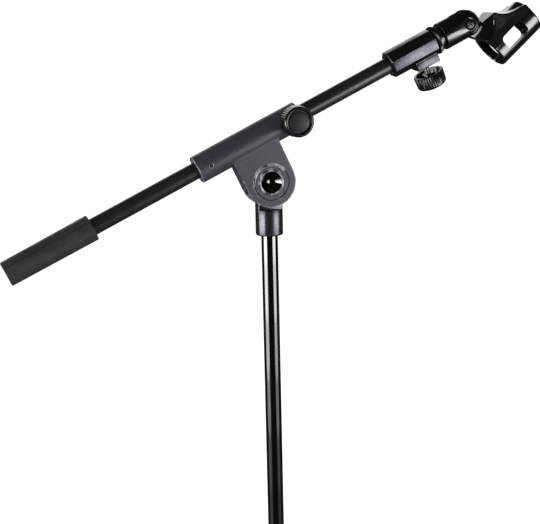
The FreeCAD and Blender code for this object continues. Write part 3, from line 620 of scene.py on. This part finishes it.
for side in (-1, 1):
    work(clip, lay(turn_up("cup_flare", [(0, 8.6), (15.2, 8.6), (24.5, 12.8), (26.3, 16), (26.6, 20), (0, 20)], 96),
                   (0, side, 0), (-clip_setback, 0, clip_drop)))
recast(clip, 0.5, 14)
ball = [(0, -14.8)] + [(14.8 * math.cos(math.radians(a)), 14.8 * math.sin(math.radians(a)))
                       for a in range(-80, 81, 8)] + [(0, 14.8)]
ball_room = turn_up("ball_room", ball, 96)
ball_room.matrix_world = Matrix.Translation((-clip_setback, 0, clip_drop))
work(clip, ball_room)
web = work(bench_box("web", (0, -4.2, 15.5), (11, 4.2, clip_drop - 6)),
           lay(turn_up("eye", [(0, -4.2), (11.5, -4.2), (12.0, -3.7), (12.0, 3.7), (11.5, 4.2), (0, 4.2)], 96),
               (0, 1, 0), (-clip_setback, 0, clip_drop)), "UNION")
work(clip, web, "UNION")
work(clip, lay(turn_up("screw_way", [(0, -40), (2.55, -40), (2.55, 40), (0, 40)], 48), (0, 1, 0),
               (-clip_setback, 0, clip_drop)))
work(clip, lay(turn_up("clip_bore", [
    (0, -6), (15.6, -6), (15.6, -0.1), (clip_bore, 1.0), (clip_bore, clip_length - 1.0),
    (15.6, clip_length + 0.1), (15.6, clip_length + 6), (0, clip_length + 6)], 128), (1, 0, 0)))
for x_low, x_high, z_low, z_high, y_low, y_high in ((11.0, 38.5, -7.2, 8.0, -40, 0), (8.5, 41.5, -15.0, 8.0, 0, 40)):
    window = []
    for cx, cz, start in ((x_high - 4.5, z_high - 4.5, 0), (x_low + 4.5, z_high - 4.5, 90),
                          (x_low + 4.5, z_low + 4.5, 180), (x_high - 4.5, z_low + 4.5, 270)):
        window += [(cx + 4.5 * math.cos(math.radians(start + 15 * k)), cz + 4.5 * math.sin(math.radians(start + 15 * k)))
                   for k in range(7)]
    opening = saw_out("window", window, abs(y_high - y_low), "XZ")
    opening.matrix_world = Matrix.Translation((0, (y_low + y_high) / 2, 0))
    work(clip, opening)
clip.name = "mic_clip_moulded"
hand_over(seat(clip, clip_bench), "clip", "nylon", CLIP_PLASTIC, "mic_clip", angle=30)

# ==== TILT BOLT ===================================================================================
# Plated bolt through the cheeks and the tongue; its near end is hidden by the cap and its threaded
# end carries the tilt knob.
bolt = turn_up("tilt_bolt_cut", [(0, -5.6), (3.6, -5.6), (4.0, -5.2), (4.0, 12.8)]
               + [pair for k in range(7) for pair in ((3.6, 13.1 + k), (4.0, 13.6 + k))]
               + [(3.5, 20.2), (0, 20.3)], 64)
hand_over(seat(lay(bolt, (0, 1, 0)), ear_bench), "head", "zinc", ZINC, "tilt_bolt", angle=30)

# ==== HEIGHT CLUTCH ===============================================================================
# Cast collar that clamps the upper tube: coated like the boom casting, turned steps at both ends and
# a boss for the clamp screw.
clutch_low, clutch_high, clutch_r, boss_reach = 733.0, 795.0, 17.0, 20.0
housing = turn_up("housing", [
    (0, clutch_low), (15.2, clutch_low), (16.4, clutch_low + 0.5), (clutch_r, clutch_low + 1.8),
    (clutch_r, clutch_low + 9), (16.2, clutch_low + 9.8), (16.2, clutch_low + 12.2), (clutch_r, clutch_low + 13),
    (clutch_r, clutch_high - 26), (16.6, clutch_high - 25), (15.6, clutch_high - 3), (15.0, clutch_high - 1),
    (13.6, clutch_high), (0, clutch_high)], 128)
work(housing, lay(turn_up("boss", [(0, 5), (8.5, 5), (8.5, boss_reach - 0.8), (7.8, boss_reach), (0, boss_reach)], 64),
                  (0, -1, 0), (0, 0, 783.0)), "UNION")
recast(housing, 0.6, 2)
for groove in range(9):
    flute = turn_up("flute", [(0, clutch_low + 16), (1.2, clutch_low + 16), (1.2, clutch_high - 29),
                              (0, clutch_high - 29)], 24)
    bearing = math.radians(50 + groove * 32.5)
    flute.matrix_world = Matrix.Translation((17.6 * math.sin(bearing), -17.6 * math.cos(bearing), 0))
    work(housing, flute)
work(housing, turn_up("post_way", [(0, 700), (11.9, 700), (11.9, clutch_low - 0.1), (11.05, clutch_low + 0.9),
                                   (11.05, 763), (10.65, 763.1), (10.65, 777.2), (8.6, 777.3),
                                   (8.6, clutch_high - 0.7), (9.3, clutch_high + 0.1), (9.3, 810), (0, 810)], 96))
work(housing, lay(turn_up("screw_way", [(0, 0), (5.0, 0), (5.0, 12.0), (3.1, 12.1), (3.1, 30), (0, 30)], 48),
                  (0, -1, 0), (0, 0, 783.0)))
housing.name = "clutch_housing_coated"
hand_over(seat(housing, MM), "base", "cast_metal", CAST_COAT, "clutch_housing", angle=28)

# ==== LOWER TUBE ==================================================================================
# The outer tube of the mast, gloss black enamel like the upper one, pressed into the tripod hub.
post = turn_up("lower_tube_enamelled", [
    (9.5, 66.0), (10.7, 66.0), (11.0, 66.4), (11.0, 240.0), (11.0, 590.0), (11.0, 762.6), (10.7, 763.0), (9.5, 763.0),
    (9.5, 66.0)])
hand_over(seat(post, MM), "base", "black_tube", GLOSS_ENAMEL, "lower_tube")

# ==== TRIPOD HUB ==================================================================================
# Coated casting with three forked arms that hold the legs, closed below by a moulded plug.
hinge_height, hinge_at, hub_r = 76.0, 31.0, 19.0
hub_low, hub_high = hinge_height - 18, hinge_height + 34
core = turn_up("core", [
    (0, hub_low), (hub_r - 1, hub_low), (hub_r, hub_low + 1), (hub_r, hub_high - 12), (hub_r - 1.0, hub_high - 10.5),
    (hub_r - 1.0, hub_high - 9), (hub_r, hub_high - 7.5), (hub_r, hub_high - 3), (hub_r - 1.0, hub_high - 0.9),
    (hub_r - 3, hub_high), (0, hub_high)], 128)
arms = []
for bearing in (60, 180, 300):
    arm = work(bench_box("arm", (6, -11.4, hinge_height - 12), (hinge_at, 11.4, hinge_height + 12)),
               lay(turn_up("nose", [(0, -11.4), (12, -11.4), (12, 11.4), (0, 11.4)], 96), (0, 1, 0),
                   (hinge_at, 0, hinge_height)), "UNION")
    arm.matrix_world = Matrix.Rotation(math.radians(bearing), 4, "Z")
    arms.append(arm)
hub = recast(gather(core, *arms), 0.7, 4)
hub.name = "tripod_hub_coated"
for bearing in (60, 180, 300):
    turned_by = Matrix.Rotation(math.radians(bearing), 4, "Z")
    room = bench_box("knuckle_room", (hinge_at - 11.2, -6.4, 0), (hinge_at + 20, 6.4, hinge_height + 30))
    room.matrix_world = turned_by
    work(hub, room)
    for side in (-1, 1):
        spot_face = lay(turn_up("spot_face", [(0, 0), (3.05, 0), (3.05, 11.0), (6.2, 11.0), (6.2, 14), (0, 14)], 48),
                        (0, side, 0), (hinge_at, 0, hinge_height))
        spot_face.matrix_world = turned_by
        work(hub, spot_face)
work(hub, turn_up("post_way", [(0, 50), (6.0, 50), (6.0, 66), (11.0, 66), (11.0, hub_high - 0.7),
                               (11.7, hub_high + 0.1), (11.7, 130), (0, 130)], 96))
hand_over(seat(hub, MM), "base", "cast_metal", CAST_COAT, "tripod_hub", angle=28)
RUBBER = mix_finish("black_rubber", (0.006, 0.006, 0.0065), (0.02, 0.02, 0.02), 0.62, 0.08, cells=800, bump=0.35,
                    depth=0.0001, mottle=0.2)
bung = turn_up("hub_plug_moulded", [
    (0, 55.6), (8, 55.6), (8.4, 55.1), (13.6, 55.1), (14.6, 55.4), (15.0, 56.2), (15.0, 57.4), (14.4, 58.0),
    (5.9, 58.0), (5.9, 62.6), (5.2, 64.4), (4.4, 65.0), (0, 65.0)], 96)
hand_over(seat(bung, MM), "base", "rubber", RUBBER, "hub_bottom_cap", angle=30)
hinge_pins = []
for bearing in (60, 180, 300):
    pin = gather(lay(turn_up("pin", [(0, -14.2), (1.9, -14.4), (4.2, -14.2), (5.0, -13.2), (5.0, -11.45), (3.0, -11.4),
                                     (3.0, 15.6), (2.6, 16.0), (0, 16.0)], 48), (0, 1, 0)),
                 lay(turn_up("nut", [(3.0, 11.45), (4.7, 11.45), (5.0, 11.8), (5.0, 14.5), (4.6, 14.85), (3.0, 14.85),
                                     (3.0, 11.45)], 6), (0, 1, 0)))
    pin.matrix_world = Matrix.Rotation(math.radians(bearing), 4, "Z") @ Matrix.Translation((hinge_at, 0, hinge_height))
    lone(pin)
    bpy.ops.object.transform_apply(location=True, rotation=True, scale=True)
    hinge_pins.append(pin)
pins = gather(*hinge_pins)
pins.name = "leg_hinge_bolts_cut"
hand_over(seat(pins, MM), "base", "zinc", ZINC, "leg_hinge_bolts", angle=30)

# ==== LEGS AND FEET ===============================================================================
# Three alike: a coated knuckle that folds on the hub, an enamelled tube and a ribbed rubber foot
# with a flat tread.
leg_fall = math.atan((hinge_height - 13.0) / 238.5)
leg_long = 238.5 / math.cos(leg_fall)
leg_bench = Matrix.Translation((hinge_at, 0, hinge_height)) @ Matrix.Rotation(leg_fall, 4, "Y")
eye = lay(turn_up("eye", [(0, -6), (9.4, -6), (10, -5.4), (10, 5.4), (9.4, 6), (0, 6)], 96), (0, 1, 0))
knuckle = gather(eye, bench_box("web", (0, -5.9, -7.8), (24, 5.9, 7.8)),
                 lay(turn_up("shoulder", [(0, 15), (8.6, 15), (9.0, 15.6), (9.0, 25.4), (8.6, 26), (0, 26)], 96),
                     (1, 0, 0)),
                 lay(turn_up("spigot", [(0, 20), (6.75, 20), (6.75, 48.6), (5.6, 50), (0, 50)], 64), (1, 0, 0)))
recast(knuckle, 0.5, 3)
work(knuckle, lay(turn_up("hinge_way", [(0, -8), (3.9, -8), (3.05, -5.2), (3.05, 5.2), (3.9, 8), (0, 8)], 48),
                  (0, 1, 0)))
leg_tube = lay(turn_up("leg_tube", [
    (6.8, 26.1), (7.7, 26.1), (8.0, 26.4), (8.0, 90), (8.0, leg_long - 90), (8.0, leg_long - 2.3),
    (7.7, leg_long - 2), (6.8, leg_long - 2), (6.8, 26.1)], 64), (1, 0, 0))
boot_steps = [(8.02, leg_long - 30), (9.6, leg_long - 30), (10.4, leg_long - 29.4)]
for k in range(4):
    ridge = leg_long - 27.6 + k * 3.4
    boot_steps += [(10.6, ridge), (10.6, ridge + 1.7), (9.9, ridge + 2.1), (9.9, ridge + 3.0)]
boot_steps += [(10.6, leg_long - 13.6), (10.6, leg_long - 10.2)]
boot_steps += [(14.5 * math.sin(math.radians(a)), leg_long - 14.5 * math.cos(math.radians(a)))
               for a in range(48, 180, 9)] + [(0, leg_long + 14.5), (0, leg_long - 1.9), (8.02, leg_long - 1.9),
                                              (8.02, leg_long - 30)]
boot = lay(turn_up("boot", boot_steps, 96), (1, 0, 0))
for pattern in (knuckle, leg_tube, boot):
    pattern.matrix_world = leg_bench
    lone(pattern)
    bpy.ops.object.transform_apply(location=True, rotation=True, scale=True)
work(boot, bench_box("floor_cut", (100, -60, -60), (400, 60, 0.02)))
for number, bearing in enumerate((60, 180, 300), 1):
    way = MM @ Matrix.Rotation(math.radians(bearing), 4, "Z")
    for pattern, node, slot, finish in ((knuckle, "leg_knuckle_%d", "cast_metal", CAST_COAT),
                                        (leg_tube, "leg_tube_%d", "black_tube", GLOSS_ENAMEL),
                                        (boot, "leg_foot_%d", "rubber", RUBBER)):
        member = copy_of(pattern, node % number + "_made")
        hand_over(seat(member, way), "leg_%d" % number, slot, finish, node % number, angle=30)
for pattern in (knuckle, leg_tube, boot):
    bpy.data.objects.remove(pattern, do_unlink=True)

# ==== PARTS KEPT AS DESIGNED ======================================================================
# Bushes, shoes, screws, bolts and other inner parts keep their designed shape. Each gets the finish
# of its own material: acetal, steel or cast iron.
NYLON = mix_finish("white_acetal", (0.62, 0.61, 0.57), (0.75, 0.74, 0.7), 0.42, 0.06, cells=600, bump=0.15,
                   mottle=0.06)
STEEL = mix_finish("plain_steel", (0.36, 0.36, 0.37), (0.6, 0.6, 0.6), 0.3, 0.08, metallic=1.0, cells=900,
                   bump=0.2, mottle=0.12, hairline=0.4)
IRON = mix_finish("cast_iron", (0.12, 0.12, 0.12), (0.3, 0.3, 0.3), 0.55, 0.1, metallic=0.8, cells=500,
                  bump=0.5, mottle=0.25)
kept = {
    NYLON: ["clutch_shoe", "clutch_bush", "upper_tube_guide", "boom_clamp_shoe", "boom_bush_rear",
            "boom_bush_front", "end_clamp_shoe", "inner_tube_guide", "tilt_washer"],
    STEEL: ["head_grub_screw", "thread_stud"],
    DARK_STEEL: ["sleeve_grub_screw"],
    IRON: ["counterweight_core"],
    SATIN_PLATE: ["sleeve_end_ring"],
}
for finish, names in kept.items():
    for name in names:
        part = frame["nodes"][name]
        part.data.materials.clear()
        part.data.materials.append(finish)

# ==== FLOOR, LIGHT AND CAMERA =====================================================================
# Plain pale studio floor and two big soft panels, low at both sides. White backdrop that only the
# camera sees, so dark tubes keep dark edges.
bpy.ops.object.select_all(action="DESELECT")
bpy.ops.mesh.primitive_plane_add(size=24, location=(0, 0, -0.0008))
floor = bpy.context.object
floor.name = "studio_floor"
bpy.ops.object.transform_apply(location=True, rotation=True, scale=True)
PAPER = bpy.data.materials.new("white_paper")
PAPER.use_nodes = True
paper_shader = PAPER.node_tree.nodes["Principled BSDF"]
paper_grain = add_node(PAPER.node_tree, "ShaderNodeGroup", [("node_tree", PEBBLED)], [("Cells per metre", 300.0)])
paper_tone = add_node(PAPER.node_tree, "ShaderNodeMapRange", (), [(1, 0.2), (2, 0.8), (3, 0.84), (4, 0.88)])
paper_shader.inputs["Roughness"].default_value = 0.9
paper_shader.inputs["Emission Color"].default_value = (1.0, 1.0, 1.0, 1.0)
paper_shader.inputs["Emission Strength"].default_value = 0.75
PAPER.node_tree.links.new(paper_grain.outputs["Mottle"], paper_tone.inputs[0])
PAPER.node_tree.links.new(paper_tone.outputs[0], paper_shader.inputs["Base Color"])
floor.data.materials.append(PAPER)
floor.visible_glossy = False

world = bpy.data.worlds.new("studio")
bpy.context.scene.world = world
world.use_nodes = True
sky = world.node_tree
for node in list(sky.nodes):
    sky.nodes.remove(node)
rays = sky.nodes.new("ShaderNodeLightPath")
sky_out = sky.nodes.new("ShaderNodeOutputWorld")
glow = sky.nodes.new("ShaderNodeBackground")
glossy = add_node(sky, "ShaderNodeMapRange", (), [(3, 0.42), (4, 0.04)])
seen = add_node(sky, "ShaderNodeMapRange", (), [(4, 1.05)])
glow.inputs["Color"].default_value = (1.0, 1.0, 1.0, 1.0)
sky.links.new(rays.outputs["Is Glossy Ray"], glossy.inputs[0])
sky.links.new(rays.outputs["Is Camera Ray"], seen.inputs[0])
sky.links.new(glossy.outputs[0], seen.inputs[3])
sky.links.new(seen.outputs[0], glow.inputs["Strength"])
sky.links.new(glow.outputs[0], sky_out.inputs["Surface"])
bpy.context.scene.view_settings.view_transform = "Standard"


def soft_panel(name, plan, distance, height, wide, tall, watts):
    """A soft panel light at a plan bearing (degrees from +X), facing the axis of the stand."""
    light = bpy.data.lights.new(name, "AREA")
    light.shape, light.size, light.size_y, light.energy = "RECTANGLE", wide, tall, watts
    lamp = bpy.data.objects.new(name, light)
    bpy.context.scene.collection.objects.link(lamp)
    toward = math.radians(plan)
    spot = Vector((math.cos(toward) * distance, math.sin(toward) * distance, height))
    level = Vector((spot.x, spot.y, 0))
    lamp.matrix_world = Matrix.Translation(spot) @ level.to_track_quat("Z", "Y").to_matrix().to_4x4()
    return lamp


bands = ((0.82, 1.28, 1.0), (0.7, 0.82, 0.7), (0.58, 0.7, 0.38), (0.46, 0.58, 0.16), (0.34, 0.46, 0.055), (0.15, 0.34, 0.03))
for name, plan, wide, glow_of in (("left", 190.0, 1.16, 17.5), ("right", -44.8, 1.0, 13.0)):
    for k, (low_edge, high_edge, share) in enumerate(bands):
        tall = high_edge - low_edge
        soft_panel("%s_panel_%d" % (name, k), plan, 1.3, (low_edge + high_edge) / 2, wide, tall,
                   glow_of * share * math.pi * wide * tall)
for name, plan in (("back_left_panel", 125), ("back_right_panel", 55)):
    soft_panel(name, plan, 1.8, 0.9, 0.8, 1.3, 18).visible_glossy = False
soft_panel("back_wall", 73, 1.8, 2.05, 3.0, 1.1, 18)
floor_lamp = soft_panel("floor_lamp", 90, 0.4, 2.6, 2.6, 2.6, 26)
floor_lamp.matrix_world = Matrix.Translation((0, 0.4, 2.6))
floor_lamp.visible_glossy = False

swing, rise, tilt, reach = math.radians(-16.782), math.radians(12.053), math.radians(-1.311), 1.25
back = Vector((math.sin(swing) * math.cos(rise), -math.cos(swing) * math.cos(rise), math.sin(rise)))
right = Vector((math.cos(swing), math.sin(swing), 0))
above = back.cross(right)
side_way = right * math.cos(tilt) + above * math.sin(tilt)
top_way = above * math.cos(tilt) - right * math.sin(tilt)
eye = Vector((-0.00049, 0, 1.10081)) + side_way * 0.00035 + back * reach
lens = bpy.data.cameras.new("camera")
lens.sensor_width = 36
lens.lens = 1292.98 / 540 * 36
lens.clip_end = 60
camera = bpy.data.objects.new("camera", lens)
bpy.context.scene.collection.objects.link(camera)
camera.matrix_world = Matrix.Translation(eye) @ Matrix((side_way, top_way, back)).transposed().to_4x4()
bpy.context.scene.camera = camera
